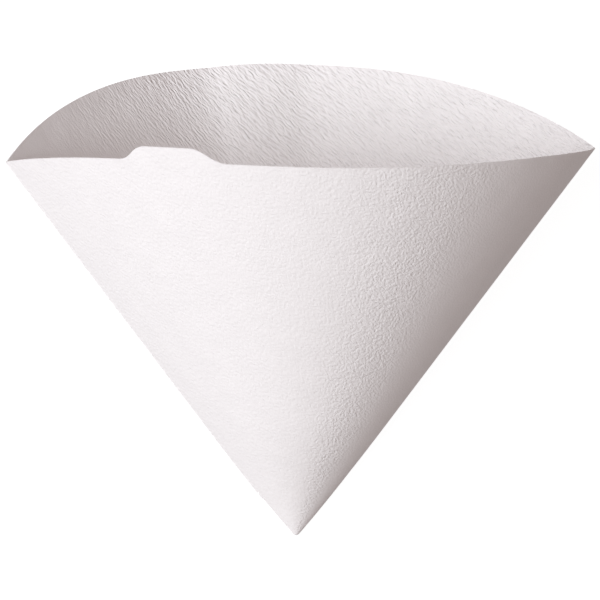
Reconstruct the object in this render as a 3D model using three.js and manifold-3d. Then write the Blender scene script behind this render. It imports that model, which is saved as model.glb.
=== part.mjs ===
// A cone coffee filter: one sheet of creped paper, folded in half along a straight crease
// and closed along the opposite edge by a crimped seam. It is shown opened by hand and laid
// on its back wall, with the tip towards -Y and the mouth towards +Y. The seam is at -X, the
// fold at +X, and the front wall, with the tab on its rim, lies uppermost.
//
// The filter is worked out standing on its tip, with the cone's axis along +Z, and is laid
// down at the end. Sizes are in millimetres and angles in radians.

import * as THREE from 'three';
import { mergeVertices } from 'three/addons/utils/BufferGeometryUtils.js';
import Module from 'manifold-3d';

const { degToRad, lerp } = THREE.MathUtils;
const { Vector2, Vector3 } = THREE;

// The sheet: each wall is a sector of it
const slantLength = 125;
const paperThickness = 0.25;
const wallAngle = degToRad(90);

// How far each crease has swung in from where it lies in the flat filter. The paper opens
// less close to the tip.
const creaseSwing = degToRad(9.3);
const tipSwing = degToRad(4.9);
const stiffTipLength = 42;
const tipRounding = 1.2;

// The tab on the front rim
const tabTopWidth = 14.6;
const tabRise = 4.05;
const tabShoulderRun = 4.9;
const tabFillet = 1.9;
const tabFromSeam = 54.4;

// The seam's two layers, folded flat against the outside of the back wall
const seamWidth = 6;
const seamGap = 0.3;
const seamStart = 14;
const seamStartWidth = 1.6;
const seamStartSlant = 1;
const seamBelowRim = 0.15;

// The opened section: curves through [share of the half width, share of the wall's own
// depth], from the seam at -1 to the fold at 1. The front turns tightly towards the fold. The
// back has two flanks, and between them the flat strip that the filter rests on.
const frontCurve = [[-1, 0], [-0.105, 1], [0.83, 0.35], [1, 0]];
const seamFlankCurve = [[-1, 0], [-0.715, 0.52], [-0.32, 1], [-0.16, 1]];
const foldFlankCurve = [[0.12, 1], [0.3, 1], [0.92, 0.48], [1, 0]];

// The solid paper at the very tip, below the hollow
const solidTipLength = 3.5;

// How finely the walls and the seam are divided
const columnSpacing = 4.5;
const tabColumnSpacing = 1.2;
const solidTipRings = 4;
const stiffTipRings = 5;
const seamRings = 3;
const seamSteps = 4;
const bendSteps = 4;

// How finely curves are measured
const flankSteps = 80;
const creaseSteps = 120;
const halvings = 40;

const paperColour = 0xece8e8;

function outlinePoints(curvePoints, steps) {
  const corners = curvePoints.map(([x, y]) => new Vector2(x, y));
  return new THREE.CubicBezierCurve(...corners).getPoints(steps);
}

const frontOutline = outlinePoints(frontCurve, 2 * flankSteps);
const backOutline = [
  ...outlinePoints(seamFlankCurve, flankSteps),
  ...outlinePoints(foldFlankCurve, flankSteps),
];

// Rays from the apex through an outline, with the crease rays at an angle to the axis
function raysThrough(outline, depth, creaseAngle, side) {
  const halfWidth = Math.tan(creaseAngle);
  return outline.map((p) => new Vector3(p.x * halfWidth, side * p.y * depth, 1).normalize());
}

// Angle swept from the first ray to each ray, measured along the paper
function sweptAngles(rays) {
  const swept = [0];
  for (let i = 1; i < rays.length; i++) {
    swept.push(swept[i - 1] + rays[i - 1].angleTo(rays[i]));
  }
  return swept;
}

// Depth at which a wall's outline takes up exactly the sheet's angle
function depthOfWall(outline, creaseAngle) {
  let low = 0;
  let high = 4 * Math.tan(wallAngle / 2);
  for (let i = 0; i < halvings; i++) {
    const middle = (low + high) / 2;
    const swept = sweptAngles(raysThrough(outline, middle, creaseAngle, 1));
    if (swept.at(-1) < wallAngle) {
      low = middle;
    } else {
      high = middle;
    }
  }
  return (low + high) / 2;
}

// One wall's rays by share of the sheet's angle from the seam: the side is -1 for the front
// wall and 1 for the back wall
class WallSection {
  constructor(outline, creaseAngle, side) {
    this.side = side;
    this.depth = depthOfWall(outline, creaseAngle);
    this.rays = raysThrough(outline, this.depth, creaseAngle, side);
    this.swept = sweptAngles(this.rays);
  }

  ray(share) {
    const wanted = share * this.swept.at(-1);
    let next = this.swept.findIndex((angle) => angle >= wanted);
    next = Math.max(1, next < 0 ? this.swept.length - 1 : next);
    const span = this.swept[next] - this.swept[next - 1];
    const part = (wanted - this.swept[next - 1]) / span;
    return this.rays[next - 1].clone().lerp(this.rays[next], part).normalize();
  }

  // Outward normal of the paper
  normal(share) {
    const step = 0.002;
    const along = this.ray(Math.min(1, share + step)).sub(this.ray(Math.max(0, share - step)));
    return along.cross(this.ray(share)).multiplyScalar(-this.side).normalize();
  }
}

// Angle between a crease and the axis at a slant distance from the tip
function creaseAngleAt(slant) {
  const stiffness = Math.max(0, 1 - slant / stiffTipLength) ** 2;
  return wallAngle / 2 - creaseSwing + (creaseSwing - tipSwing) * stiffness;
}

// Place of the fold's crease at a slant distance from the rounded tip: bent as far as the
// stiff tip reaches, and straight beyond it
function creasePoint(slant) {
  const bentLength = Math.min(slant, stiffTipLength);
  const point = new Vector2();
  for (let i = 0; i < creaseSteps; i++) {
    const from = bentLength * (i / creaseSteps) ** 2;
    const to = bentLength * ((i + 1) / creaseSteps) ** 2;
    const middle = (from + to) / 2;
    const rounding = Math.max(0, 1 - middle / tipRounding) ** 2;
    const angle = lerp(creaseAngleAt(middle), Math.PI / 2, rounding);
    point.x += (to - from) * Math.sin(angle);
    point.y += (to - from) * Math.cos(angle);
  }
  point.x += (slant - bentLength) * Math.sin(creaseAngleAt(slant));
  point.y += (slant - bentLength) * Math.cos(creaseAngleAt(slant));
  return point;
}

// A ring of the cone at a slant distance: its section, and its own apex on the axis
class Ring {
  constructor(slant) {
    const creaseAngle = creaseAngleAt(slant);
    const crease = creasePoint(slant);
    this.radius = crease.x / Math.sin(creaseAngle);
    this.apex = new Vector3(0, 0, crease.y - this.radius * Math.cos(creaseAngle));
    this.front = new WallSection(frontOutline, creaseAngle, -1);
    this.back = new WallSection(backOutline, creaseAngle, 1);
  }

  // Outer face, with the paper carried on past the ring by extra
  outer(wall, share, extra = 0) {
    return wall.ray(share).multiplyScalar(this.radius + extra).add(this.apex);
  }

  // Step from the outer face to the inner one. It is square to the ray, so the rim is cut
  // square, and the two walls share one step at a crease.
  inward(wall, share) {
    const ray = wall.ray(share);
    const onCrease = share === 0 || share === 1;
    const walls = onCrease ? [this.front, this.back] : [wall];
    const rise = walls.reduce((sum, w) => sum - w.normal(share).z, 0) / walls.length;
    const up = new Vector3(0, 0, 1).addScaledVector(ray, -ray.z);
    return up.multiplyScalar(paperThickness / rise);
  }
}

// Equal shares of a whole, up to 1
function sharesUpTo(count) {
  return Array.from({ length: count }, (_, i) => (i + 1) / count);
}

// Evenly spaced places from one up to another, no further apart than the spacing
function placesBetween(from, to, spacing) {
  const steps = Math.max(1, Math.ceil((to - from) / spacing));
  return Array.from({ length: steps }, (_, i) => from + ((to - from) * i) / steps);
}

const rim = new Ring(slantLength);
const rimLength = rim.radius * wallAngle;

// A distance past a corner, or nothing short of it, with the corner filleted
function pastCorner(distance) {
  if (Math.abs(distance) < tabFillet) {
    return (distance + tabFillet) ** 2 / (4 * tabFillet);
  }
  return Math.max(0, distance);
}

// Height of the tab above the rim at a distance along the rim from the seam
function tabHeight(fromSeam) {
  const fromFoot = tabTopWidth / 2 + tabShoulderRun - Math.abs(fromSeam - tabFromSeam);
  const run = pastCorner(fromFoot) - pastCorner(fromFoot - tabShoulderRun);
  return (run * tabRise) / tabShoulderRun;
}

function frontShares() {
  const reach = tabTopWidth / 2 + tabShoulderRun + tabFillet;
  const tabStart = (tabFromSeam - reach) / rimLength;
  const tabEnd = (tabFromSeam + reach) / rimLength;
  return [
    ...placesBetween(0, tabStart, columnSpacing / rimLength),
    ...placesBetween(tabStart, tabEnd, tabColumnSpacing / rimLength),
    ...placesBetween(tabEnd, 1, columnSpacing / rimLength),
  ];
}

function backShares() {
  const { swept } = rim.back;
  const flatFrom = swept[flankSteps] / swept.at(-1);
  const flatTo = swept[flankSteps + 1] / swept.at(-1);
  const spacing = columnSpacing / rimLength;
  const fromSeam = [
    ...placesBetween(0, flatFrom, spacing),
    ...placesBetween(flatFrom, flatTo, spacing),
    ...placesBetween(flatTo, 1, spacing),
    1,
  ];
  return fromSeam.slice(1).reverse();
}

// Columns once round the cone: the front from seam to fold, then the back to the seam again
const columns = [
  ...frontShares().map((share) => ({ wall: 'front', share })),
  ...backShares().map((share) => ({ wall: 'back', share })),
];

function riseAt({ wall, share }) {
  return wall === 'front' ? tabHeight(share * rimLength) : 0;
}

function outerRow(ring, rise = () => 0) {
  return columns.map((column) => ring.outer(ring[column.wall], column.share, rise(column)));
}

function innerRow(ring, rise = () => 0) {
  const outer = outerRow(ring, rise);
  return outer.map((point, i) => point.add(ring.inward(ring[columns[i].wall], columns[i].share)));
}

// Triangles between two rows of as many points, the second to the left of the first
function strip(first, second, wraps) {
  const corners = [];
  const count = wraps ? first.length : first.length - 1;
  for (let i = 0; i < count; i++) {
    const next = (i + 1) % first.length;
    corners.push(first[i], first[next], second[next]);
    corners.push(first[i], second[next], second[i]);
  }
  return corners;
}

function strips(rows, wraps) {
  return rows.slice(1).flatMap((row, i) => strip(rows[i], row, wraps));
}

// Triangles from a closed row to one point
function fan(row, point) {
  return row.flatMap((corner, i) => [corner, row[(i + 1) % row.length], point]);
}

// The two walls, joined at both creases and open at the mouth
function coneShell() {
  const solidTip = sharesUpTo(solidTipRings).map((share) => solidTipLength * share ** 2);
  const widening = stiffTipLength / solidTipLength;
  const stiffTip = sharesUpTo(stiffTipRings).map((share) => solidTipLength * widening ** share);
  const slants = [...solidTip, ...stiffTip, (stiffTipLength + slantLength) / 2];
  const rings = slants.map((slant) => new Ring(slant));
  const hollowRings = rings.slice(solidTipRings - 1);
  const outer = [...rings.map((ring) => outerRow(ring)), outerRow(rim, riseAt)];
  const inner = [...hollowRings.map((ring) => innerRow(ring)), innerRow(rim, riseAt)].reverse();
  const floor = inner.at(-1).reduce((sum, point) => sum.add(point), new Vector3());
  floor.divideScalar(columns.length);
  floor.z -= paperThickness;
  return [
    ...fan([...outer[0]].reverse(), new Vector3()),
    ...strips(outer, true),
    ...strip(outer.at(-1), inner[0], true),
    ...strips(inner, true),
    ...fan(inner.at(-1), floor),
  ];
}

// One cut across the seam: its outer and inner faces from the front wall, round the bend at
// the crease, to its free edge on the back wall
function seamCut(slant) {
  const ring = new Ring(slant);
  const { front, back, radius } = ring;
  const frontNormal = front.normal(0);
  const backNormal = back.normal(0);
  const outerRadius = seamGap + 2 * paperThickness;
  const bendFrom = outerRadius / Math.sin(frontNormal.angleTo(backNormal));
  const onBack = (width) => ring.outer(back, width / (radius * wallAngle));
  const normalOnBack = (width) => back.normal(width / (radius * wallAngle));
  const centre = onBack(bendFrom);

  const roundFrom = frontNormal.clone().multiplyScalar(outerRadius - paperThickness / 2).add(centre);
  const crease = ring.inward(front, 0).divideScalar(2).add(ring.outer(front, 0));
  const roundTo = backNormal.clone().multiplyScalar(-paperThickness / 2).add(centre);
  const outer = [];
  const inner = [];
  for (let i = 0; i <= bendSteps; i++) {
    const turn = frontNormal.clone().lerp(backNormal, i / bendSteps).normalize();
    outer.push(turn.multiplyScalar(outerRadius).add(centre));
    const half = (2 * i) / bendSteps;
    const [from, to] = half < 1 ? [roundFrom, crease] : [crease, roundTo];
    inner.push(from.clone().lerp(to, half < 1 ? half : half - 1));
  }

  const width = Math.min(seamWidth, seamStartWidth + (slant - seamStart) * seamStartSlant);
  const gapFrom = bendFrom + seamGap / 2;
  for (let i = 0; i <= seamSteps; i++) {
    const place = gapFrom + ((width - gapFrom) * i) / seamSteps;
    const normal = normalOnBack(place);
    outer.push(onBack(place).addScaledVector(normal, outerRadius));
    inner.push(onBack(place).addScaledVector(normal, seamGap));
  }
  return { outer, inner };
}

function seamFlap() {
  const fullWidthFrom = seamStart + (seamWidth - seamStartWidth) / seamStartSlant;
  const alongTip = sharesUpTo(seamRings).map((share) => lerp(fullWidthFrom, stiffTipLength, share));
  const middle = (stiffTipLength + slantLength) / 2;
  const slants = [seamStart, fullWidthFrom, ...alongTip, middle, slantLength - seamBelowRim];
  const cuts = slants.map(seamCut);
  const loops = cuts.map(({ outer, inner }) => [...inner, ...[...outer].reverse()]);
  return [
    ...strip(cuts[0].outer, cuts[0].inner, false),
    ...strips(loops, true),
    ...strip(cuts.at(-1).inner, cuts.at(-1).outer, false),
  ];
}

const wasm = await Module();
wasm.setup();

// A solid from the corners of its triangles, three to a triangle
function solidFrom(corners) {
  const merged = mergeVertices(new THREE.BufferGeometry().setFromPoints(corners));
  return new wasm.Manifold(new wasm.Mesh({
    numProp: 3,
    vertProperties: merged.getAttribute('position').array,
    triVerts: Uint32Array.from(merged.index.array),
  }));
}

function geometryFrom(solid) {
  const { vertProperties, triVerts } = solid.getMesh();
  const geometry = new THREE.BufferGeometry();
  geometry.setAttribute('position', new THREE.BufferAttribute(vertProperties, 3));
  geometry.setIndex(new THREE.BufferAttribute(triVerts, 1));
  geometry.computeVertexNormals();
  return geometry;
}

function filterPaper() {
  const solid = solidFrom(coneShell()).add(solidFrom(seamFlap()));
  const material = new THREE.MeshStandardMaterial({ color: paperColour, roughness: 1, metalness: 0 });
  const mesh = new THREE.Mesh(geometryFrom(solid), material);
  mesh.name = 'filter_paper';
  return mesh;
}

// Turned onto the flat strip of the back wall, with the origin below the middle of the filter
function laidDown(mesh) {
  mesh.rotation.x = -Math.atan2(1, rim.back.depth);
  mesh.updateMatrixWorld(true);
  const box = new THREE.Box3().setFromObject(mesh, true);
  const centre = box.getCenter(new Vector3());
  mesh.position.set(-centre.x, -centre.y, -box.min.z);
  return mesh;
}

const filter = new THREE.Group();
filter.add(laidDown(filterPaper()));

export default filter;
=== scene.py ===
# %% [markdown]
# # A cone coffee filter
#
# The object is one sheet of creped filter paper. It is folded in half along a straight
# crease, closed along the opposite edge by a crimped seam, and opened by hand into a cone
# that lies on its back wall. This lesson makes its looks around a plain solid of the same
# filter, which is loaded first and whose box sets where the paper lies.
#
# It could be sculpted, or a cone could be squashed until it looks right. Here the flat
# sheet is cut first and then folded by a rule, because paper bends but hardly stretches:
# the crepe, the tab and the rim all belong to the flat sheet and follow it round the cone.

# %% Load the solid
import math

import bpy
import numpy as np
from mathutils import Matrix, Vector
from mathutils.geometry import delaunay_2d_cdt
from mathutils.kdtree import KDTree


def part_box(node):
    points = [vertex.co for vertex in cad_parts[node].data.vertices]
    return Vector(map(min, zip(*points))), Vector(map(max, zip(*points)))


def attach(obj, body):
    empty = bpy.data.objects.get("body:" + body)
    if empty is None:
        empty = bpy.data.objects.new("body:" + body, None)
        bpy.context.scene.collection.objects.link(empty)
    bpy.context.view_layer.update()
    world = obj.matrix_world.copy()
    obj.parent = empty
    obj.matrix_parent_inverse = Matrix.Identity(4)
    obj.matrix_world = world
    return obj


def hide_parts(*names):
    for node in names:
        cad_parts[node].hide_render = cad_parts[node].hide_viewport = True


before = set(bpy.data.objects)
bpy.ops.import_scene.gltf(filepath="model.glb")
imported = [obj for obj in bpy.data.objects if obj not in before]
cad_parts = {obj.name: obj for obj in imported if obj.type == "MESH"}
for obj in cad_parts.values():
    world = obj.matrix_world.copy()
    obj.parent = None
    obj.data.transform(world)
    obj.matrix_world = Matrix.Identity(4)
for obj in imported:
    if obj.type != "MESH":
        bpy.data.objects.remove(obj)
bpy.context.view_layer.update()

NODE = "filter_paper"
LOW, HIGH = (np.array(corner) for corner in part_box(NODE))
print(f"The solid is {(HIGH - LOW) * 1000} mm")

# %% [markdown]
# ## Sizes
#
# A real filter of this kind is cut so that each wall is a quarter of a circle. The sizes
# below are the sheet's own, in metres. What depends on how far the filter is opened is
# worked out from them.

# %% The sheet and how it is opened
MM = 0.001
SLANT = 125 * MM
PAPER = 0.25 * MM
WALL_ANGLE = math.radians(90)

CREASE_SWING = math.radians(9.3)
TIP_SWING = math.radians(4.9)
STIFF_TIP = 42 * MM
TIP_ROUNDING = 1.2 * MM
SOLID_TIP = 3.5 * MM

TAB_TOP = 14.6 * MM
TAB_RISE = 4.05 * MM
TAB_SHOULDER = 4.9 * MM
TAB_FILLET = 1.9 * MM
TAB_FROM_SEAM = 54.4 * MM

SEAM_WIDTH = 6 * MM
SEAM_GAP = 0.3 * MM
SEAM_START = 14 * MM
SEAM_START_WIDTH = 1.6 * MM
SEAM_BELOW_RIM = 0.15 * MM

# %% [markdown]
# ## The opened section
#
# Seen down its axis, the open filter is a lens with two sharp corners. The front wall is
# one curve, tighter towards the fold. The back wall has two flanks and a flat strip, where
# it bears on the table. Each curve is drawn as shares of the half width and of the wall's
# own depth. The depth is then found by halving, so that the wall takes up exactly the
# sheet's quarter turn: that is what makes it paper and not rubber.

# %% Section curves
FRONT_CURVE = [(-1, 0), (-0.105, 1), (0.83, 0.35), (1, 0)]
SEAM_FLANK = [(-1, 0), (-0.715, 0.52), (-0.32, 1), (-0.16, 1)]
FOLD_FLANK = [(0.12, 1), (0.3, 1), (0.92, 0.48), (1, 0)]
FLANK_STEPS = 160


def bezier(corners, steps):
    a, b, c, d = (np.array(corner, float) for corner in corners)
    t = np.linspace(0, 1, steps + 1)[:, None]
    return (1 - t) ** 3 * a + 3 * (1 - t) ** 2 * t * b + 3 * (1 - t) * t**2 * c + t**3 * d


FRONT = bezier(FRONT_CURVE, 2 * FLANK_STEPS)
BACK = np.concatenate([bezier(SEAM_FLANK, FLANK_STEPS), bezier(FOLD_FLANK, FLANK_STEPS)])


def rays_through(outline, depth, lean, side):
    """Unit rays from the apex, with the creases at an angle to the axis."""
    rays = np.stack([
        outline[:, 0] * math.tan(lean), side * outline[:, 1] * depth, np.ones(len(outline))
    ], axis=1)
    return rays / np.linalg.norm(rays, axis=1, keepdims=True)


def swept_angles(rays):
    steps = np.linalg.norm(np.diff(rays, axis=0), axis=1)
    return np.concatenate([[0], np.cumsum(2 * np.arcsin(steps / 2))])


def wall_depth(outline, lean):
    low, high = 0.0, 4 * math.tan(WALL_ANGLE / 2)
    for _ in range(40):
        middle = (low + high) / 2
        if swept_angles(rays_through(outline, middle, lean, 1))[-1] < WALL_ANGLE:
            low = middle
        else:
            high = middle
    return (low + high) / 2


def wall_rays(outline, lean, side):
    return rays_through(outline, wall_depth(outline, lean), lean, side)


OPEN_LEAN = WALL_ANGLE / 2 - CREASE_SWING
TIP_LEAN = WALL_ANGLE / 2 - TIP_SWING
BACK_DEPTH = wall_depth(BACK, OPEN_LEAN)
SECTIONS = [
    wall_rays(FRONT, OPEN_LEAN, -1),
    wall_rays(BACK, OPEN_LEAN, 1),
    wall_rays(FRONT, TIP_LEAN, -1),
    wall_rays(BACK, TIP_LEAN, 1),
]
print(f"Back wall depth {BACK_DEPTH:.4f}, front {wall_depth(FRONT, OPEN_LEAN):.4f}")

# %% [markdown]
# ## From the tip to the rim
#
# Near the tip the two layers and the fold are stiff, so the paper opens less there and the
# creases start out wider apart. The very tip is rounded. Adding up short steps along a
# crease gives, for each distance from the tip, the ring of the cone that belongs to it:
# its radius on the flat sheet and the height of its own apex on the axis.

# %% Rings along the slant
RING_STEPS = 900


def ring_table():
    """Slant distances over the stiff tip, with each ring's radius and apex height."""
    slants = STIFF_TIP * np.linspace(0, 1, RING_STEPS + 1) ** 2
    middles = (slants[1:] + slants[:-1]) / 2
    stiffness = np.clip(1 - middles / STIFF_TIP, 0, 1) ** 2
    lean = OPEN_LEAN + (TIP_LEAN - OPEN_LEAN) * stiffness
    rounding = np.clip(1 - middles / TIP_ROUNDING, 0, 1) ** 2
    angle = lean + (math.pi / 2 - lean) * rounding
    across = np.concatenate([[0], np.cumsum(np.sin(angle) * np.diff(slants))])
    along = np.concatenate([[0], np.cumsum(np.cos(angle) * np.diff(slants))])
    lean_at = OPEN_LEAN + (TIP_LEAN - OPEN_LEAN) * (1 - slants / STIFF_TIP) ** 2
    radius = across / np.sin(lean_at)
    return slants, radius, along - radius * np.cos(lean_at)


RING_SLANTS, RING_RADII, RING_APEXES = ring_table()
RIM_RADIUS = RING_RADII[-1] + SLANT - STIFF_TIP


def slant_of(radius):
    beyond = np.maximum(0, radius - RING_RADII[-1])
    return np.interp(radius, RING_RADII, RING_SLANTS) + beyond


def apex_of(radius):
    return np.interp(radius, RING_RADII, RING_APEXES)


def stiffness_of(radius):
    return np.clip(1 - slant_of(radius) / STIFF_TIP, 0, 1) ** 2


print(f"Flat sheet: two quarter circles of {RIM_RADIUS / MM:.2f} mm radius")

# %% [markdown]
# ## Cutting the flat sheet
#
# The crepe's wrinkles run parallel to the seam. A mesh can only show them if its rows are
# closer across the wrinkles than along them, so the sheet is cut into a grid that is fine
# across and coarse along. A plain grid would leave a stepped rim. Instead, grid points and
# rim points are joined by a constrained Delaunay triangulation, which follows the rim and
# the tab exactly and keeps the triangles even.

# %% Rim and tab on the flat sheet
ACROSS = 0.42 * MM
ALONG = 1.45 * MM


def past_corner(distance):
    filleted = (distance + TAB_FILLET) ** 2 / (4 * TAB_FILLET)
    return np.where(np.abs(distance) < TAB_FILLET, filleted, np.maximum(0, distance))


def tab_height(from_seam):
    from_foot = TAB_TOP / 2 + TAB_SHOULDER - np.abs(from_seam - TAB_FROM_SEAM)
    run = past_corner(from_foot) - past_corner(from_foot - TAB_SHOULDER)
    return run * TAB_RISE / TAB_SHOULDER


def evenly(points):
    """Points along a path, about one grid step apart, both ends kept."""
    steps = np.linalg.norm(np.diff(points / [ALONG, ACROSS], axis=0), axis=1)
    run = np.concatenate([[0], np.cumsum(steps)])
    at = np.linspace(0, run[-1], max(2, round(run[-1])) + 1)
    return np.stack([np.interp(at, run, points[:, 0]), np.interp(at, run, points[:, 1])], 1)


def arc(radius_at):
    """A line round the sheet from the seam to the fold, at a radius for each angle."""
    angle = np.linspace(0, WALL_ANGLE, 4001)
    radius = radius_at(angle)
    return evenly(np.stack([radius * np.cos(angle), radius * np.sin(angle)], 1))


FRONT_RIM = arc(lambda angle: RIM_RADIUS + tab_height(angle * RIM_RADIUS))
BACK_RIM = arc(lambda angle: np.full_like(angle, RIM_RADIUS))
TIP_ARC = arc(lambda angle: np.full_like(angle, np.interp(SOLID_TIP, RING_SLANTS, RING_RADII)))
print(f"Rim points: front {len(FRONT_RIM)}, back {len(BACK_RIM)}, tip {len(TIP_ARC)}")

# %% [markdown]
# One wall is triangulated in stretched coordinates, in which a grid step is 1 both ways.
# Its seam edge and its fold edge have the same points on both walls, so that the walls can
# share them. The small arc near the tip marks where the hollow ends.

# %% Triangulate one wall
STRETCH = np.array([ALONG, ACROSS])
TIP_RADIUS = np.linalg.norm(TIP_ARC[0])
CLEAR = 0.6
CUT_ACCURACY = 1e-9
TIP_RINGS = np.array([0.3, 0.65, 1.05, 1.5, 2.1, 2.9]) * MM
RING_POINTS = 12


def between(start, end, step):
    """Places between two ends, about a step apart, without the ends."""
    return np.linspace(start, end, max(1, round((end - start) / step)) + 1)[1:-1]


def distance_to(points, lines):
    tree = KDTree(len(lines))
    for i, (x, y) in enumerate(lines):
        tree.insert((x, y, 0), i)
    tree.balance()
    return np.array([tree.find((x, y, 0))[2] for x, y in points])


def grid_inside(rim):
    """Grid points clear of the edges, the rim and the tip's arc."""
    reach = 1.1 * RIM_RADIUS
    p, q = np.meshgrid(np.arange(ALONG, reach, ALONG), np.arange(ACROSS, reach, ACROSS))
    points = np.stack([p.ravel(), q.ravel()], 1)
    angle = np.arctan2(points[:, 1], points[:, 0])
    limit = np.interp(angle, np.arctan2(rim[:, 1], rim[:, 0]), np.linalg.norm(rim, axis=1))
    out = np.linalg.norm(points, axis=1)
    points = points[(out < limit) & (out > TIP_RADIUS)]
    lines = np.concatenate([rim, TIP_ARC])
    return points[distance_to(points / STRETCH, lines / STRETCH) > CLEAR]


def rings_at_tip():
    """Points on small rings round the tip, without the edges."""
    angle = WALL_ANGLE * np.arange(1, RING_POINTS) / RING_POINTS
    around = np.stack([np.cos(angle), np.sin(angle)], 1)
    return (TIP_RINGS[:, None, None] * around).reshape(-1, 2)


def on_seam(radii):
    return np.stack([radii, np.zeros(len(radii))], 1)


def on_fold(radii):
    return np.stack([np.zeros(len(radii)), radii], 1)


def cut_wall(rim):
    """Points, triangles, and the point numbers along the rim, the fold and the tip's arc."""
    seam = np.concatenate([
        on_seam([0]), on_seam(TIP_RINGS),
        TIP_ARC[:1], on_seam(between(TIP_RADIUS, RIM_RADIUS, ALONG)),
    ])
    fold = np.concatenate([
        on_fold(TIP_RINGS),
        TIP_ARC[-1:], on_fold(between(TIP_RADIUS, RIM_RADIUS, ACROSS)),
    ])
    outline = np.concatenate([seam, rim, fold[::-1]])
    points = np.concatenate([outline, TIP_ARC[1:-1], rings_at_tip(), grid_inside(rim)])
    count = len(outline)
    at_seam = 1 + len(TIP_RINGS)
    at_fold = count - 1 - len(TIP_RINGS)
    arc_line = [at_seam, *range(count, count + len(TIP_ARC) - 2), at_fold]
    edges = [(i, (i + 1) % count) for i in range(count)]
    edges += list(zip(arc_line[:-1], arc_line[1:]))
    corners = [Vector(point) for point in points / STRETCH]
    cut = delaunay_2d_cdt(corners, edges, [list(range(count))], 1, CUT_ACCURACY)
    source = np.array([first[0] for first in cut[3]])
    rim_line = np.arange(len(seam), len(seam) + len(rim))
    fold_line = np.array([0, *range(count - 1, rim_line[-1] - 1, -1)])
    return points, source[np.array(cut[2])], rim_line, fold_line, np.array(arc_line)


front_wall = cut_wall(FRONT_RIM)
back_wall = cut_wall(BACK_RIM)
print(f"Front wall {len(front_wall[1])} triangles, back wall {len(back_wall[1])}")

# %% [markdown]
# ## The sheet before folding
#
# Both walls lie flat side by side in one half circle, with the fold along the middle. Its
# outside faces down and its inside up, a paper's thickness apart. The inside leaves out the
# small corner at the tip, where the real paper is pressed into a solid point. A narrow web
# joins the two walls there and makes the floor of the hollow. The straight edge stays open
# here: it is what the seam closes.

# %% Flat sheet mesh
SHEET_UV = "sheet"
BAKE_UV = "OFBake"
BAKE_SIZE = 280 * MM


def joined_walls():
    """Flat points of both walls, with the fold's points shared."""
    points, triangles, rim, fold, arc_line = front_wall
    points_b, triangles_b, rim_b, fold_b, arc_b = back_wall
    number = np.arange(len(points_b)) + len(points)
    number[fold_b] = fold
    mirrored = points_b * [-1, 1]
    both = np.concatenate([points, mirrored])
    turned = number[triangles_b][:, ::-1]
    return both, triangles, turned, rim, number[rim_b], arc_line, number[arc_b]


flat, front_triangles, back_triangles, front_rim, back_rim, front_arc, back_arc = joined_walls()


def outside_tip(triangles):
    centres = flat[triangles].mean(axis=1)
    return triangles[np.linalg.norm(centres, axis=1) > TIP_RADIUS]


def strip_between(first, second):
    """Four-cornered faces from one line of point numbers to another."""
    return np.stack([first[:-1], first[1:], second[1:], second[:-1]], 1)


outside = np.concatenate([front_triangles, back_triangles])
inside = outside_tip(outside)
count = len(flat)
rims = np.concatenate([
    strip_between(front_rim, front_rim + count),
    strip_between(back_rim, back_rim + count)[:, ::-1],
])
web = strip_between(front_arc + count, back_arc + count)
flat_faces = [*outside[:, ::-1].tolist(), *(inside + count).tolist()]
flat_faces += [*rims.tolist(), *[list(dict.fromkeys(face)) for face in web.tolist()]]
flat_points = np.concatenate([
    np.column_stack([flat, np.zeros(count)]),
    np.column_stack([flat, np.full(count, PAPER)]),
])
sheet_mesh = bpy.data.meshes.new("filter_paper")
sheet_mesh.from_pydata(flat_points.tolist(), [], flat_faces)
print(f"Flat sheet: {len(flat_faces)} faces")

# %% [markdown]
# Each point also carries what its ring on the cone is like. The edges that stay sharp are
# marked: the rim's two edges, the fold, the seam edge and, on the inside only, the edge of
# the solid tip. A point keeps one bit for each line that it lies on, and an edge is sharp
# when both its ends share a line.

# %% What the sheet's points carry
RIM_OR_ARC = (1, 2, 4, 8)
ARCS = 4 | 8
ON_FOLD = 16
ON_SEAM = 32
ON_EDGE = 1e-9

radius = np.linalg.norm(flat_points[:, :2], axis=1)
for name, values in [("apex", apex_of(radius)), ("stiffness", stiffness_of(radius))]:
    attribute = sheet_mesh.attributes.new(name, "FLOAT", "POINT")
    attribute.data.foreach_set("value", values)

lines = np.zeros(2 * count, int)
for bit, members in zip(RIM_OR_ARC, [front_rim, back_rim, front_arc, back_arc]):
    lines[members] |= bit
    lines[members + count] |= bit
lines[:count] &= ~ARCS
lines[np.abs(flat_points[:, 0]) < ON_EDGE] |= ON_FOLD
lines[np.abs(flat_points[:, 1]) < ON_EDGE] |= ON_SEAM
ends = np.array([edge.vertices[:] for edge in sheet_mesh.edges])
same_face = (ends[:, 0] < count) == (ends[:, 1] < count)
sharp = same_face & (lines[ends[:, 0]] & lines[ends[:, 1]] > 0)
sheet_mesh.attributes.new("sharp_edge", "BOOLEAN", "EDGE").data.foreach_set("value", sharp)
sheet_mesh.polygons.foreach_set("use_smooth", np.ones(len(flat_faces), bool))
print(f"{int(sharp.sum())} sharp edges")

# %% [markdown]
# The sheet's own flat coordinates become its first UV map, so that the paper's texture
# follows it. The second map spreads the same flat shapes over a square: the two half
# circles one above the other, the rims in strips along the top, and the web in the free
# corner beside the lower half circle.

# %% The sheet's two UV maps
OUTSIDE_PLACE = (140 * MM, 1 * MM)
INSIDE_UP = 136.5 * MM
RIM_ENDS = (2 * MM, 278 * MM)
RIM_HEIGHT = 273 * MM
RIM_STEP = 3 * MM
RIM_THICK = 1.5 * MM
WEB_PLACE = (10 * MM, 125 * MM)

corner_points = np.array([loop.vertex_index for loop in sheet_mesh.loops])
corner_flat = flat_points[corner_points]
sheet_map = sheet_mesh.uv_layers.new(name=SHEET_UV)
sheet_map.data.foreach_set("uv", (corner_flat[:, :2] / BAKE_SIZE).ravel())


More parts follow.
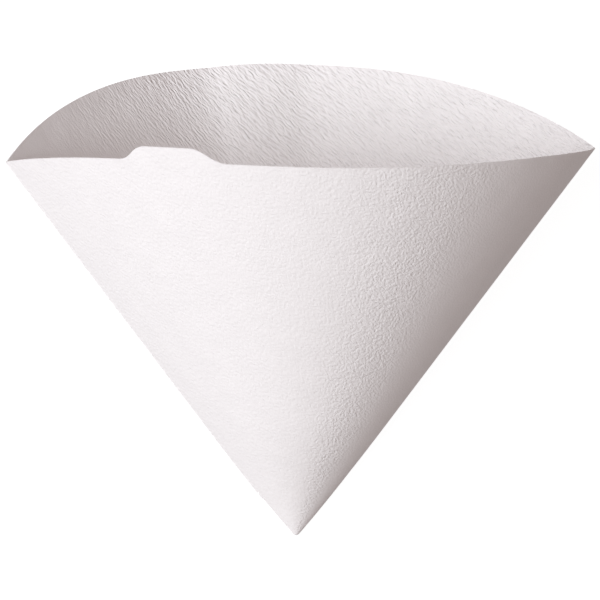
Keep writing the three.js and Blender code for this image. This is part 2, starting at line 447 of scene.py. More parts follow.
def bake_places():
    """Where each corner of each face lies on the square map."""
    upper = (corner_points >= count) * INSIDE_UP
    places = corner_flat[:, :2] + OUTSIDE_PLACE + np.stack([0 * upper, upper], 1)
    sizes = np.array([polygon.loop_total for polygon in sheet_mesh.polygons])
    face_of_corner = np.repeat(np.arange(len(sizes)), sizes)
    first_rim = len(outside) + len(inside)
    for i, rim in enumerate([front_rim, back_rim]):
        run = np.zeros(2 * count)
        run[rim] = np.linspace(*RIM_ENDS, len(rim))
        run[rim + count] = run[rim]
        start = first_rim + i * (len(front_rim) - 1)
        chosen = (face_of_corner >= start) & (face_of_corner < start + len(rim) - 1)
        members = corner_points[chosen]
        height = RIM_HEIGHT + RIM_STEP * i + RIM_THICK * (members >= count)
        places[chosen] = np.stack([run[members], height], 1)
    chosen = face_of_corner >= first_rim + len(rims)
    members = corner_points[chosen]
    places[chosen] = flat_points[members][:, :2] + WEB_PLACE
    return places / BAKE_SIZE


sheet_mesh.uv_layers.new(name=BAKE_UV).data.foreach_set("uv", bake_places().ravel())
paper = bpy.data.objects.new("filter_paper_sheet", sheet_mesh)
bpy.context.scene.collection.objects.link(paper)
print(f"UV maps: {[layer.name for layer in sheet_mesh.uv_layers]}")

# %% [markdown]
# ## Folding it into a cone
#
# The four sections become four curves of directions from the apex: front and back, fully
# open and as stiff as at the tip. Geometry Nodes can then place every point of the sheet. A
# point's angle on the flat sheet says how far along the curve its direction lies, and its
# distance from the tip says how far to go in that direction.

# %% Sections as curves
section_curve = bpy.data.curves.new("sections", "CURVE")
section_curve.dimensions = "3D"
for rays in SECTIONS:
    spline = section_curve.splines.new("POLY")
    spline.points.add(len(rays) - 1)
    spline.points.foreach_set("co", np.column_stack([rays, np.ones(len(rays))]).ravel())
sections = bpy.data.objects.new("sections", section_curve)
bpy.context.scene.collection.objects.link(sections)
print(f"{len(SECTIONS)} section curves of about {len(FRONT)} points")

# %% [markdown]
# A small helper keeps the node trees readable: it adds a node to a tree, sets what is
# constant and wires up what comes from other nodes. The bench serves materials too, and
# the recipe is a bench for Geometry Nodes that also knows how to run its tree on a piece.

# %% A bench for node trees


class Bench:
    """Adds nodes to one tree and wires them up."""

    def __init__(self, tree):
        self.tree = tree

    def node(self, kind, inputs=None, **settings):
        made = self.tree.nodes.new(kind)
        for name, value in settings.items():
            setattr(made, name, value)
        for key, value in (inputs or {}).items():
            if isinstance(value, bpy.types.NodeSocket):
                self.tree.links.new(value, made.inputs[key])
            else:
                made.inputs[key].default_value = value
        return made

    def math(self, operation, *values, clamp=False):
        inputs = dict(enumerate(values))
        return self.node("ShaderNodeMath", inputs, operation=operation, use_clamp=clamp).outputs[0]

    def vector(self, operation, *values):
        """Vector mathematics, where the factor of a scale is a socket further on."""
        inputs = {3 if operation == "SCALE" and i else i: v for i, v in enumerate(values)}
        made = self.node("ShaderNodeVectorMath", inputs, operation=operation)
        return made.outputs[1 if operation in ("LENGTH", "DOT_PRODUCT") else 0]

    def xyz(self, vector):
        return self.node("ShaderNodeSeparateXYZ", {0: vector}).outputs

    def combine(self, x, y, z):
        return self.node("ShaderNodeCombineXYZ", {0: x, 1: y, 2: z}).outputs[0]

    def blend(self, factor, first, second):
        made = self.node("ShaderNodeMix", {0: factor, 4: first, 5: second}, data_type="VECTOR")
        return made.outputs[1]

    def choose(self, factor, first, second):
        return self.node("ShaderNodeMix", {0: factor, 2: first, 3: second}).outputs[0]

    def noise(self, vector, scale, detail=2.0, roughness=0.5, distortion=0.0):
        inputs = {
            "Vector": vector, "Scale": scale, "Detail": detail,
            "Roughness": roughness, "Distortion": distortion,
        }
        return self.node("ShaderNodeTexNoise", inputs, noise_dimensions="3D").outputs[0]


class Recipe(Bench):
    """A Geometry Nodes tree with named inputs, and the modifier that runs it."""

    def __init__(self, name):
        super().__init__(bpy.data.node_groups.new(name, "GeometryNodeTree"))
        self.add_input("Geometry", "NodeSocketGeometry")
        self.tree.interface.new_socket(
            "Geometry", in_out="OUTPUT", socket_type="NodeSocketGeometry"
        )
        self.given = self.tree.nodes.new("NodeGroupInput")
        self.result = self.tree.nodes.new("NodeGroupOutput")
        self.values = {}

    def add_input(self, name, kind):
        return self.tree.interface.new_socket(name, in_out="INPUT", socket_type=kind)

    def size(self, name, value):
        self.values[self.add_input(name, "NodeSocketFloat").identifier] = float(value)
        return self.given.outputs[name]

    def thing(self, name, value, kind):
        self.values[self.add_input(name, kind).identifier] = value
        return self.given.outputs[name]

    def attribute(self, name, kind="FLOAT"):
        return self.node("GeometryNodeInputNamedAttribute", {0: name}, data_type=kind).outputs[0]

    def finish(self, geometry, material, chosen):
        """Gives the chosen faces a material."""
        inputs = {"Geometry": geometry, "Selection": chosen, "Material": material}
        return self.node("GeometryNodeSetMaterial", inputs).outputs[0]

    def run(self, piece, name):
        """The tree's result on a piece, as a plain mesh of its own."""
        modifier = piece.modifiers.new(self.tree.name, "NODES")
        modifier.node_group = self.tree
        for identifier, value in self.values.items():
            modifier[identifier] = value
        graph = bpy.context.evaluated_depsgraph_get()
        mesh = bpy.data.meshes.new_from_object(piece.evaluated_get(graph), depsgraph=graph)
        made = bpy.data.objects.new(name, mesh)
        bpy.context.scene.collection.objects.link(made)
        piece.modifiers.remove(modifier)
        bpy.data.objects.remove(piece)
        return made


# %% [markdown]
# The crepe's wrinkles are one stretched noise. The tree uses it for the wrinkles that the
# mesh can show, and the materials use it for the finer grain.

# %% Wrinkles
WANDER_SCALE = 260.0
WRINKLE_DISTORTION = 0.3


def relief(bench, flat_place, pitch, length, wander, seed, detail=1.0):
    """Crepe wrinkles, mostly from -1 to 1, lying along the sheet's first direction."""
    place = bench.xyz(flat_place)
    sideways = bench.noise(bench.vector("SCALE", flat_place, WANDER_SCALE), 1.0, detail=1.0)
    shifted = bench.math("MULTIPLY_ADD", sideways, wander, place[1])
    along = bench.math("DIVIDE", place[0], length)
    across = bench.math("DIVIDE", shifted, pitch)
    lengths = bench.combine(along, across, seed)
    field = bench.noise(lengths, 1.0, detail, distortion=WRINKLE_DISTORTION)
    return bench.math("MULTIPLY_ADD", field, 4.0, -2.0)


# %% [markdown]
# ## The paper's finish
#
# The paper is oxygen-bleached wood pulp: warm white, matt, a little cloudy where the
# fibres lie denser. The inside shows long diagonal wrinkles, and the outside the same
# wrinkles blunted into grains by the drying cylinder. How deep the grain is differs over
# each face, as it does in the photograph.

# %% How deep the grain is
GRAIN_BY_TURN = [
    (0, 0.08), (0.12, 0.26), (0.3, 0.16), (0.42, 0.27), (0.6, 0.88), (0.76, 0.45), (1, 0.45),
]
LEAST_RADIUS = 1 * MM
TIP_REACH = 40 * MM
TIP_SHARE = 0.75
OPEN_SHARE = 0.3
SEAM_REACH = 75 * MM


def grain_curve(bench, value):
    """The outside's grain depth by the turn from the fold, at 0, to the seam, at 1."""
    made = bench.node("ShaderNodeFloatCurve", {"Value": value})
    curve = made.mapping.curves[0]
    curve.points[0].location = GRAIN_BY_TURN[0]
    curve.points[1].location = GRAIN_BY_TURN[-1]
    for point in GRAIN_BY_TURN[1:-1]:
        curve.points.new(*point)
    made.mapping.update()
    return made.outputs[0]


def smoother_by_fold(bench, place):
    """The outside's grain follows the curve, and is a quarter shallower at the tip."""
    from_fold = bench.math("ABSOLUTE", bench.xyz(place)[0])
    from_tip = bench.math("MAXIMUM", bench.vector("LENGTH", place), LEAST_RADIUS)
    turned = grain_curve(bench, bench.math("DIVIDE", from_fold, from_tip))
    reached = bench.math("DIVIDE", from_tip, TIP_REACH, clamp=True)
    by_tip = bench.math("MULTIPLY_ADD", reached, OPEN_SHARE, TIP_SHARE)
    return bench.math("MULTIPLY", turned, by_tip)


def deeper_from_seam(bench, place):
    """The inside's wrinkles deepen away from the seam, over rather more than half a wall."""
    from_seam = bench.math("DIVIDE", bench.xyz(place)[1], SEAM_REACH, clamp=True)
    return bench.math("POWER", from_seam, 2.0)


print(f"The outside's grain has {len(GRAIN_BY_TURN)} depths from the fold to the seam")

# %% [markdown]
# Four finishes are made alike. Wrinkles and fine fibres make the relief, a slower noise makes
# the clouds, and the fibres also vary how matt the paper is. The two faces take their place
# from the flat sheet, and the cut edge and the seam from the object.

# %% Paper material
GRAIN_WANDER = 1.0 * MM
GRAIN_SEED = 2.3
FIBRE_SCALE = 2600.0
FIBRE_HEIGHT = 0.35
CLOUD_SCALE = 160.0
CLOUD_SHARE = 0.06
DARKEST_CLOUD = 0.97
LEAST_ROUGH = 0.86
FIBRE_ROUGH = 0.12
SPECULAR = 0.25


def paper_material(name, tone, grain_length, grain_pitch, bump_depth, growth=None):
    made = bpy.data.materials.new(name)
    made.use_nodes = True
    made.node_tree.nodes.clear()
    bench = Bench(made.node_tree)
    if growth:
        place = bench.node("ShaderNodeUVMap", uv_map=SHEET_UV).outputs[0]
        place = bench.vector("SCALE", place, BAKE_SIZE)
    else:
        place = bench.node("ShaderNodeTexCoord").outputs["Object"]
    grain = relief(bench, place, grain_pitch, grain_length, GRAIN_WANDER, GRAIN_SEED)
    fine = bench.noise(place, FIBRE_SCALE, 2.0)
    if growth:
        grain = bench.math("MULTIPLY", grain, growth(bench, place))
    height = bench.math("MULTIPLY_ADD", fine, FIBRE_HEIGHT, grain)
    bump = bench.node("ShaderNodeBump", {"Height": height, "Distance": bump_depth, "Strength": 1.0})
    cloud = bench.noise(place, CLOUD_SCALE, 3.0)
    mottle = bench.math("MULTIPLY_ADD", cloud, CLOUD_SHARE, DARKEST_CLOUD)
    tinted = bench.vector("SCALE", bench.combine(*tone), mottle)
    rough = bench.math("MULTIPLY_ADD", fine, FIBRE_ROUGH, LEAST_ROUGH)
    shader = bench.node("ShaderNodeBsdfPrincipled", {
        "Base Color": tinted, "Roughness": rough, "Normal": bump.outputs[0],
        "Specular IOR Level": SPECULAR,
    })
    bench.node("ShaderNodeOutputMaterial", {"Surface": shader.outputs[0]})
    return made


TONE = (0.885, 0.84, 0.835)
outside_paper = paper_material(
    "paper_outside", TONE, 0.85 * MM, 0.6 * MM, 0.09 * MM, smoother_by_fold
)
inside_paper = paper_material(
    "paper_inside", TONE, 1.9 * MM, 0.6 * MM, 0.14 * MM, deeper_from_seam
)
cut_paper = paper_material("paper_cut_edge", TONE, 0.4 * MM, 0.3 * MM, 0.02 * MM)
seam_paper = paper_material("paper_seam", TONE, 1.0 * MM, 0.5 * MM, 0.03 * MM)
print(f"Paper tone {TONE}, four finishes")

# %% [markdown]
# ## Opening it
#
# The tree below does to every point what a hand does to the sheet. It takes a direction
# from the sections, goes out along it, steps in by the paper's thickness for the inside,
# lays the cone down on its back wall and adds the crepe's relief along the paper's own
# normal. Its sizes come first, each with its name.

# %% The tree's sizes
LAY = math.atan2(1, BACK_DEPTH)

opening = Recipe("open_the_filter")
thickness = opening.size("Paper thickness", PAPER)
recline = opening.size("Recline", -LAY)
crepe_depth = opening.size("Crepe depth", 0.042 * MM)
crepe_pitch = opening.size("Crepe pitch", 0.8 * MM)
crepe_length = opening.size("Crepe length", 2.0 * MM)
cockle_depth = opening.size("Cockle depth", 0.07 * MM)
pressed = opening.size("Pressed beside creases", 1.6 * MM)
seed = opening.size("Seed", 4.7)
apex_height = apex_of(RIM_RADIUS)
SHIFT = Vector((
    HIGH[0] - RIM_RADIUS * math.sin(OPEN_LEAN), LOW[1],
    -BACK_DEPTH * apex_height / math.hypot(1, BACK_DEPTH),
))
shift = opening.thing("Shift", SHIFT, "NodeSocketVector")
section_object = opening.thing("Sections", sections, "NodeSocketObject")
section_lines = opening.node("GeometryNodeObjectInfo", {0: section_object}).outputs["Geometry"]
print(f"The tree takes {len(opening.values)} values")

# %% [markdown]
# A point's place on the flat sheet tells its wall, its share of the way from the seam to
# the fold, its distance from the tip and how deep in the paper it lies. From these come its
# ray and the paper's normal there. On a crease the rises of both walls are averaged, so
# that their insides meet.

# %% From the flat sheet to the cone
AT_FOLD = 1e-9
AT_CREASE = 1e-6

place = opening.node("GeometryNodeInputPosition").outputs[0]
x, y, depth_in_paper = opening.xyz(place)
from_fold = opening.math("ABSOLUTE", x)
share = opening.math("DIVIDE", opening.math("ARCTAN2", y, from_fold), WALL_ANGLE)
on_back = opening.math("LESS_THAN", x, -AT_FOLD)
flat_place = opening.combine(x, y, 0.0)
radius_out = opening.vector("LENGTH", flat_place)
stiff = opening.attribute("stiffness")
apex = opening.combine(0.0, 0.0, opening.attribute("apex"))


def section_at(wall):
    """Direction and outward normal where the point lies on a wall's section."""
    found = []
    for first in (0, 2):
        index = opening.math("ADD", wall, float(first))
        sample = opening.node(
            "GeometryNodeSampleCurve",
            {"Curves": section_lines, "Factor": share, "Curve Index": index},
            mode="FACTOR",
        )
        found.append(sample)
    mixed = [opening.blend(stiff, found[0].outputs[i], found[1].outputs[i]) for i in (1, 2)]
    ray = opening.vector("NORMALIZE", mixed[0])
    side = opening.math("MULTIPLY_ADD", wall, -2.0, 1.0)
    square = opening.vector("NORMALIZE", opening.vector("CROSS_PRODUCT", mixed[1], ray))
    return ray, opening.vector("SCALE", square, side)


ray, normal = section_at(on_back)
_, other_normal = section_at(opening.math("SUBTRACT", 1.0, on_back))
to_crease = opening.math("MINIMUM", share, opening.math("SUBTRACT", 1.0, share))
on_crease = opening.math("LESS_THAN", to_crease, AT_CREASE)
rise = opening.math("MULTIPLY", opening.xyz(normal)[2], -1.0)
other_rise = opening.math("MULTIPLY", opening.xyz(other_normal)[2], -1.0)
shared_rise = opening.math("MULTIPLY", opening.math("ADD", rise, other_rise), 0.5)
rise = opening.choose(on_crease, rise, shared_rise)

along_ray = opening.vector("SCALE", ray, opening.xyz(ray)[2])
upright = opening.vector("SUBTRACT", opening.combine(0.0, 0.0, 1.0), along_ray)
step_in = opening.vector("SCALE", upright, opening.math("DIVIDE", depth_in_paper, rise))
folded = opening.vector("ADD", opening.vector("SCALE", ray, radius_out), apex)
folded = opening.vector("ADD", folded, step_in)


def laid_down(vector):
    made = opening.node("ShaderNodeVectorRotate", {"Vector": vector, "Angle": recline})
    made.rotation_type = "X_AXIS"
    return made.outputs[0]


lying = opening.vector("ADD", laid_down(folded), shift)
print(f"{len(opening.tree.nodes)} nodes fold the sheet and lay it down")

# %% [markdown]
# Two reliefs are added along the normal. The wrinkles of the crepe are a fraction of a
# millimetre apart, and the cockles are the slow waves that paper takes up in drying. The
# wrinkles die away at the two creases, where the paper is pressed flat. They are shallower
# on the outside than on the inside, and shallower near the seam and near the fold. The
# cockles grow towards the rim, and die away at the creases and where the paper bears on the
# table.

# %% Crepe and cockles
CREPE_WANDER = 1.5 * MM
COCKLE_SCALE = 120.0
COCKLE_SQUEEZE = 1.2
COCKLE_REACH = 20 * MM
TABLE_GRIP = 2.5
RIM_POWER = 8.0
RIM_GAIN = 1.2
COCKLE_LEAST = 0.6
OUTSIDE_SHARE = 0.25
SHARE_AT_SEAM = 0.15
SHARE_AT_FOLD = 0.15
INSIDE_MORE_AT_FOLD = 0.4

wrinkles = relief(opening, flat_place, crepe_pitch, crepe_length, CREPE_WANDER, seed)
squeezed = opening.math("MULTIPLY", y, COCKLE_SQUEEZE)
cockles = opening.noise(opening.combine(x, squeezed, seed), COCKLE_SCALE, 1.0)
cockles = opening.math("MULTIPLY_ADD", cockles, 2.0, -1.0)
edge_distance = opening.math("MINIMUM", from_fold, y)
fade = opening.math("DIVIDE", edge_distance, pressed, clamp=True)
off_table = opening.math("MULTIPLY", opening.xyz(lying)[2], TABLE_GRIP)
slow_fade = opening.math("MINIMUM", edge_distance, off_table)
slow_fade = opening.math("DIVIDE", slow_fade, COCKLE_REACH, clamp=True)
near_rim = opening.math("POWER", opening.math("DIVIDE", radius_out, RIM_RADIUS), RIM_POWER)
by_rim = opening.math("MULTIPLY_ADD", near_rim, RIM_GAIN, COCKLE_LEAST)
slow_fade = opening.math("MULTIPLY", slow_fade, by_rim)
depth_share = opening.math("DIVIDE", depth_in_paper, thickness)
least_share = opening.math("MULTIPLY_ADD", depth_share, INSIDE_MORE_AT_FOLD, SHARE_AT_FOLD)
depth_share = opening.math("MULTIPLY_ADD", depth_share, 1 - OUTSIDE_SHARE, OUTSIDE_SHARE)
from_seam_share = opening.math("DIVIDE", y, radius_out)
from_seam_share = opening.math(
    "MULTIPLY_ADD", from_seam_share, 1 - SHARE_AT_SEAM, SHARE_AT_SEAM
)
from_fold_share = opening.math("DIVIDE", from_fold, radius_out)
from_fold_share = opening.choose(from_fold_share, least_share, 1.0)
depth_share = opening.math("MULTIPLY", depth_share, from_seam_share)
depth_share = opening.math("MULTIPLY", depth_share, from_fold_share)
fade = opening.math("MULTIPLY", fade, depth_share)
height = opening.math("MULTIPLY", wrinkles, opening.math("MULTIPLY", crepe_depth, fade))
swell = opening.math("MULTIPLY", cockles, opening.math("MULTIPLY", cockle_depth, slow_fade))
lift = opening.math("ADD", height, swell)
raised = opening.vector("ADD", lying, opening.vector("SCALE", laid_down(normal), lift))
print(f"{len(opening.tree.nodes)} nodes with the reliefs")

# %% [markdown]
# What bears on the table is pressed level with it. How deep a point lies in the paper is
# stored before it is moved, because the finishes are chosen by it. The two halves of the
# seam edge then lie together and are merged, which closes the paper.

# %% Settle, close and finish
WELD = 2e-6
JUST_INSIDE = 0.01
FULLY_INSIDE = 0.99

rx, ry, rz = opening.xyz(raised)
lowest = opening.math("MULTIPLY", depth_in_paper, 0.5)
settled = opening.combine(rx, ry, opening.math("MAXIMUM", rz, lowest))

marked = opening.node("GeometryNodeStoreNamedAttribute", {
    "Geometry": opening.given.outputs["Geometry"], "Name": "inside",
    "Value": opening.math("DIVIDE", depth_in_paper, thickness),
}).outputs[0]
moved = opening.node("GeometryNodeSetPosition", {"Geometry": marked, "Position": settled})
closed = opening.node("GeometryNodeMergeByDistance", {
    "Geometry": moved.outputs[0], "Distance": WELD,
})
finished = opening.node("GeometryNodeRealizeInstances", {0: closed.outputs[0]}).outputs[0]
depth_here = opening.attribute("inside")
past_outside = opening.math("GREATER_THAN", depth_here, JUST_INSIDE)
on_inside = opening.math("GREATER_THAN", depth_here, FULLY_INSIDE)
finished = opening.finish(finished, outside_paper, True)
finished = opening.finish(finished, cut_paper, past_outside)
finished = opening.finish(finished, inside_paper, on_inside)
opening.tree.links.new(finished, opening.result.inputs[0])
folded = opening.run(paper, "filter_paper_cone")
finishes = [polygon.material_index for polygon in folded.data.polygons]
bpy.data.objects.remove(sections)
print(f"Folded: {len(folded.data.vertices)} points, {len(finishes)} faces")
print(f"Outside, cut edge, inside: {[finishes.count(i) for i in range(3)]} faces")

# %% [markdown]
# ## The crimped seam
#
# The two edges are turned over together onto the back wall and pressed between toothed
# wheels, which leaves ribs across the seam and makes them hold without glue. The flap is
# lofted from cuts across the seam: tangent to the front wall, round the crease, and along
# the back wall to its free edge. Its ribs repeat along a path, so Geometry Nodes press them.

# %% Cuts across the seam
CUT_STEP = 0.25 * MM
BEND_STEPS = 6
FLAP_STEPS = 9
NORMAL_STEP = 0.002
SWEPT = [swept_angles(rays) for rays in SECTIONS]


def ray_at(wall, share, stiff_share):
    """A wall's ray at a share of the way from the seam to the fold."""
    mixed = 0
    for index, weight in ((wall, 1 - stiff_share), (wall + 2, stiff_share)):
        at = share * SWEPT[index][-1]
        found = [np.interp(at, SWEPT[index], SECTIONS[index][:, i]) for i in range(3)]
        mixed = mixed + weight * np.array(found)
    return mixed / np.linalg.norm(mixed)


def normal_at(wall, share, stiff_share):
    ahead = ray_at(wall, min(1, share + NORMAL_STEP), stiff_share)
    along = ahead - ray_at(wall, max(0, share - NORMAL_STEP), stiff_share)
    square = np.cross(along, ray_at(wall, share, stiff_share)) * (1 if wall == 0 else -1)
    return square / np.linalg.norm(square)


def seam_cut(slant):
    """Outer and inner points of one cut, with the outward direction at each."""
    radius = np.interp(slant, RING_SLANTS, RING_RADII) + max(0, slant - STIFF_TIP)
    apex_point = np.array([0, 0, apex_of(radius)])
    stiff_share = max(0, 1 - slant / STIFF_TIP) ** 2
    front_out = normal_at(0, 0, stiff_share)
    back_out = normal_at(1, 0, stiff_share)
    outer_radius = SEAM_GAP + 2 * PAPER
    bend_from = outer_radius / math.sin(math.acos(front_out @ back_out))
    flap = min(SEAM_WIDTH, SEAM_START_WIDTH + slant - SEAM_START)

    def on_back_wall(width):
        share = width / (radius * WALL_ANGLE)
        return ray_at(1, share, stiff_share) * radius + apex_point, normal_at(1, share, stiff_share)

    centre, _ = on_back_wall(bend_from)
    crease = ray_at(1, 0, stiff_share) * radius + apex_point
    round_from = centre + front_out * (outer_radius - PAPER / 2)
    round_to = centre - back_out * PAPER / 2
    outer, inner, out = [], [], []
    for i in range(BEND_STEPS + 1):
        turn = front_out + (back_out - front_out) * i / BEND_STEPS
        turn = turn / np.linalg.norm(turn)
        half = 2 * i / BEND_STEPS
        start, end = (round_from, crease) if half < 1 else (crease, round_to)
        inner.append(start + (end - start) * (half if half < 1 else half - 1))
        outer.append(centre + turn * outer_radius)
        out.append(turn)
    for width in np.linspace(bend_from + SEAM_GAP / 2, flap, FLAP_STEPS):
        point, turn = on_back_wall(width)
        outer.append(point + turn * outer_radius)
        inner.append(point + turn * SEAM_GAP)
        out.append(turn)
    return [*inner, *outer[::-1]], [*out, *out[::-1]]


def lay_down(points):
    x, y, z = points[:, 0], points[:, 1], points[:, 2]
    turned = [x, y * math.cos(LAY) + z * math.sin(LAY), z * math.cos(LAY) - y * math.sin(LAY)]
    return np.column_stack(turned)


flap_slants = np.arange(SEAM_START, SLANT - SEAM_BELOW_RIM, CUT_STEP)
cuts = [seam_cut(slant) for slant in flap_slants]
loop_size = len(cuts[0][0])
flap_points = lay_down(np.concatenate([cut[0] for cut in cuts])) + np.array(SHIFT)
flap_out = lay_down(np.concatenate([cut[1] for cut in cuts]))
print(f"Seam: {len(cuts)} cuts of {loop_size} points")

# %% [markdown]
# The loft joins each cut to the next and closes both ends. Each point keeps its distance
# along the seam, the direction in which a rib pushes it, and how much: least at the crease
# and most at the free edge.

# %% Loft the seam
BEND_PRESS = (0.15, 0.4)
FLAP_PRESS = (0.7, 1)


def loft(rows, size):
    """Four-cornered faces round and along a row of loops."""
    number = np.arange(rows * size).reshape(rows, size)
    ahead = np.roll(number, -1, axis=1)
    sides = np.stack([number[:-1], ahead[:-1], ahead[1:], number[1:]], 2).reshape(-1, 4)
    return sides.tolist()


flap_faces = loft(len(cuts), loop_size)
half_loop = loop_size // 2
for row, flip in ((0, True), (len(cuts) - 1, False)):
    for i in range(half_loop - 1):
        first = row * loop_size
        face = [first + i, first + i + 1, first + loop_size - 2 - i, first + loop_size - 1 - i]
        flap_faces.append(face[::-1] if flip else face)
flap_mesh = bpy.data.meshes.new("filter_seam")
flap_mesh.from_pydata(flap_points.tolist(), [], flap_faces)
along = np.repeat(flap_slants, loop_size)
flap_mesh.attributes.new("along", "FLOAT", "POINT").data.foreach_set("value", along)
out_map = flap_mesh.attributes.new("out", "FLOAT_VECTOR", "POINT")
out_map.data.foreach_set("vector", flap_out.ravel())
one_side = np.concatenate([
    np.linspace(*BEND_PRESS, BEND_STEPS + 1), np.linspace(*FLAP_PRESS, FLAP_STEPS),
])
press = np.tile(np.concatenate([one_side, one_side[::-1]]), len(cuts))
flap_mesh.attributes.new("press", "FLOAT", "POINT").data.foreach_set("value", press)
flap_mesh.polygons.foreach_set("use_smooth", np.ones(len(flap_faces), bool))
print(f"Seam: {len(flap_faces)} faces before the ribs")

# %% [markdown]
# The seam's square map is the loft unrolled, with both end caps in strips above it.

# %% The seam's UV map
LOFT_SHARE = 0.8
CAP_HEIGHTS = (0.85, 0.91)
CAP_THICK = 0.03
MAP_MARGIN = 0.01
MAP_SHARE = 0.97


def seam_places():
    """Where each corner of each face lies on the square map."""
    side = np.arange((len(cuts) - 1) * loop_size)
    row, step = side // loop_size, side % loop_size
    rows = np.stack([row, row, row + 1, row + 1], 1) / len(cuts)
    steps = np.stack([step, step + 1, step + 1, step], 1) / loop_size
    places = [np.stack([rows, LOFT_SHARE * steps], 2)]
    for cap, height in enumerate(CAP_HEIGHTS):
        step = np.arange(half_loop - 1)
        run = np.stack([step, step + 1, step + 1, step], 1) / half_loop
        rise = np.repeat([[height, height + CAP_THICK]], 2, axis=1)
        rise = np.tile(rise, (half_loop - 1, 1))
        face = np.stack([run, rise], 2)
        places.append(face if cap else face[:, ::-1])
    return MAP_MARGIN + MAP_SHARE * np.concatenate(places).reshape(-1, 2)


flap_mesh.uv_layers.new(name=BAKE_UV).data.foreach_set("uv", seam_places().ravel())
flap = bpy.data.objects.new("filter_seam_flat", flap_mesh)
bpy.context.scene.collection.objects.link(flap)
print(f"Seam map: {len(flap_mesh.loops)} corners")

# %% [markdown]
# The toothed wheels leave a wave along the seam. It dies away at both ends.

# %% Press the ribs
crimping = Recipe("crimp_the_seam")
rib_pitch = crimping.size("Rib pitch", 1.5 * MM)
rib_depth = crimping.size("Rib depth", 0.13 * MM)
distance = crimping.attribute("along")
turns = crimping.math("MULTIPLY", crimping.math("DIVIDE", distance, rib_pitch), 2 * math.pi)
wave = crimping.math("SINE", turns)
from_start = crimping.math("SUBTRACT", distance, SEAM_START)
to_end = crimping.math("SUBTRACT", SLANT - SEAM_BELOW_RIM, distance)
nearest_end = crimping.math("MINIMUM", from_start, to_end)
end_fade = crimping.math("DIVIDE", nearest_end, rib_pitch, clamp=True)
share_pressed = crimping.math("MULTIPLY", end_fade, crimping.attribute("press"))
push = crimping.math("MULTIPLY", crimping.math("MULTIPLY", wave, rib_depth), share_pressed)
direction = crimping.attribute("out", "FLOAT_VECTOR")
pressed_ribs = crimping.node("GeometryNodeSetPosition", {
    "Geometry": crimping.given.outputs["Geometry"],
    "Offset": crimping.vector("SCALE", direction, push),
}).outputs[0]
ribbed = crimping.node("GeometryNodeRealizeInstances", {0: pressed_ribs}).outputs[0]
crimping.tree.links.new(crimping.finish(ribbed, seam_paper, True), crimping.result.inputs[0])
seam = crimping.run(flap, "filter_seam")
print(f"Seam: {len(seam.data.polygons)} faces")

# %% [markdown]
# The folded paper takes the solid's place, and both pieces ride with the part's one body.

# %% Ride and replace
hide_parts(NODE)
for piece in (folded, seam):
    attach(piece, "root")

# %% [markdown]
# ## Camera, light and floor
#
# The camera stands where the photograph's does. Its angle, distance and shift were fitted
# to the rims and creases of the opened cone standing on its tip, and are turned with it as
# it is laid down.

# %% Camera
CAMERA_AZIMUTH = 0.2188
CAMERA_ELEVATION = 0.2968
CAMERA_ROLL = -0.0287
CAMERA_DISTANCE = 5.5
PIXELS_PER_SLANT = 499.815
CENTRE_X = 302.904
CENTRE_Y = 302.499
IMAGE = 600
SENSOR = 36
NEAR = 0.01

turn = Matrix.Rotation(CAMERA_AZIMUTH, 3, "Z")
tilt = Matrix.Rotation(CAMERA_ELEVATION, 3, "X")
to_camera = tilt @ turn
from_camera = to_camera.transposed()
lay_matrix = Matrix.Rotation(-LAY, 3, "X")
axes = [lay_matrix @ (from_camera @ axis) for axis in Matrix.Identity(3)]
right, away, up = axes
image_right = math.cos(CAMERA_ROLL) * right - math.sin(CAMERA_ROLL) * up
image_up = math.sin(CAMERA_ROLL) * right + math.cos(CAMERA_ROLL) * up
pivot = lay_matrix @ Vector((0, 0, 0.5 * SLANT)) + SHIFT
eye = pivot - away * CAMERA_DISTANCE * SLANT

camera_data = bpy.data.cameras.new("camera")
camera = bpy.data.objects.new("camera", camera_data)
bpy.context.scene.collection.objects.link(camera)
rotation = Matrix((image_right, image_up, -away)).transposed()
camera.matrix_world = Matrix.Translation(eye) @ rotation.to_4x4()
camera_data.sensor_fit = "HORIZONTAL"
camera_data.sensor_width = SENSOR
camera_data.lens = SENSOR * CAMERA_DISTANCE * PIXELS_PER_SLANT / IMAGE
camera_data.shift_x = -(CENTRE_X - IMAGE / 2) / IMAGE
camera_data.shift_y = (CENTRE_Y - IMAGE / 2) / IMAGE
camera_data.clip_start = NEAR
bpy.context.scene.camera = camera
print(f"The camera looks down at {math.degrees(math.asin(-away.z)):.1f} degrees")

# %% [markdown]
# One broad, soft light stands to the camera's left, level with it, and makes the shading
# from the front wall to the dark edge by the fold.

# %% Key light
KEY_TARGET = Vector((0, 0, 0.05))
KEY_AZIMUTH = math.radians(-24)
KEY_ELEVATION = math.radians(-1)
KEY_DISTANCE = 1.6
KEY_SIZE = 1.0
KEY_TONE = (0.895, 0.957, 1.0)
KEY_IRRADIANCE = 3.5

key_right = math.sin(KEY_AZIMUTH) * math.cos(KEY_ELEVATION) * right
key_away = -math.cos(KEY_AZIMUTH) * math.cos(KEY_ELEVATION) * away
key_way = key_right + key_away + math.sin(KEY_ELEVATION) * up
key_data = bpy.data.lights.new("key", "AREA")
key_data.shape = "DISK"
key_data.color = KEY_TONE
key_data.size = KEY_SIZE
key_data.energy = KEY_IRRADIANCE * math.pi * KEY_DISTANCE**2
key = bpy.data.objects.new("key", key_data)
bpy.context.scene.collection.objects.link(key)
key.location = KEY_TARGET + key_way * KEY_DISTANCE
key.rotation_euler = key_way.to_track_quat("Z", "Y").to_euler()
print(f"The light stands {math.degrees(math.asin(key_way.z)):.1f} degrees above the floor")

# %% [markdown]
# The surroundings are warm and dim for the paper that they light, and white for the camera,
# as the photograph's ground is. The floor is grey for the paper that it lights. For the
# camera it is mixed with white, more so away from the filter, and keeps a faint shadow.

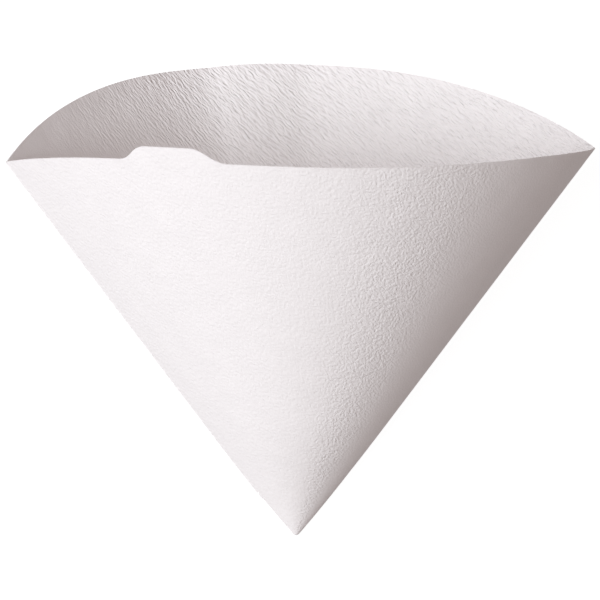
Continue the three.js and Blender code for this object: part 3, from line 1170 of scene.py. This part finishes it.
# %% World and floor
WORLD_TONE = (1.0, 0.80, 0.73)
WORLD_STRENGTH = 0.265
WHITE = (1, 1, 1, 1)
FLOOR_SIZE = 40.0
FLOOR_GREY = (0.6, 0.6, 0.6, 1)
FLOOR_GLOW = 1.27
FLOOR_WHITE = 0.75
WHITER_BY_METRE = 0.5
WHITE_AT_CENTRE = FLOOR_WHITE - 0.1


def seen_directly(bench):
    """1 for what the camera sees, also by a mirror or through glass, and 0 for lighting."""
    path = bench.node("ShaderNodeLightPath").outputs
    seen = bench.math("MAXIMUM", path["Is Camera Ray"], path["Is Glossy Ray"])
    return bench.math("MAXIMUM", seen, path["Is Transmission Ray"])


world = bpy.data.worlds.new("studio")
bpy.context.scene.world = world
world.use_nodes = True
world.node_tree.nodes.clear()
sky = Bench(world.node_tree)
glow = sky.node("ShaderNodeBackground", {"Color": (*WORLD_TONE, 1), "Strength": WORLD_STRENGTH})
white = sky.node("ShaderNodeBackground", {"Color": WHITE, "Strength": 1.0})
mix = sky.node("ShaderNodeMixShader", {
    0: seen_directly(sky), 1: glow.outputs[0], 2: white.outputs[0],
})
sky.node("ShaderNodeOutputWorld", {"Surface": mix.outputs[0]})

floor_material = bpy.data.materials.new("floor")
floor_material.use_nodes = True
floor_material.node_tree.nodes.clear()
ground = Bench(floor_material.node_tree)
matt = ground.node("ShaderNodeBsdfDiffuse", {"Color": FLOOR_GREY})
bright = ground.node("ShaderNodeEmission", {"Color": WHITE, "Strength": FLOOR_GLOW})
spot = ground.node("ShaderNodeTexCoord").outputs["Object"]
from_centre = ground.vector("LENGTH", spot)
whiter = ground.math("MULTIPLY_ADD", from_centre, WHITER_BY_METRE, WHITE_AT_CENTRE)
whiter = ground.math("MINIMUM", ground.math("MAXIMUM", whiter, FLOOR_WHITE), 1.0)
share_white = ground.math("MULTIPLY", seen_directly(ground), whiter)
mix = ground.node("ShaderNodeMixShader", {
    0: share_white, 1: matt.outputs[0], 2: bright.outputs[0],
})
ground.node("ShaderNodeOutputMaterial", {"Surface": mix.outputs[0]})
floor_mesh = bpy.data.meshes.new("floor")
corner = FLOOR_SIZE / 2
floor_mesh.from_pydata(
    [(-corner, -corner, 0), (corner, -corner, 0), (corner, corner, 0), (-corner, corner, 0)],
    [], [(0, 1, 2, 3)],
)
floor_mesh.materials.append(floor_material)
floor = bpy.data.objects.new("floor", floor_mesh)
bpy.context.scene.collection.objects.link(floor)
print(f"World {WORLD_TONE} at {WORLD_STRENGTH}, floor {FLOOR_SIZE} m")

# %% [markdown]
# The colours are shown as they are.

# %% Colour and size
bpy.context.scene.view_settings.view_transform = "Standard"
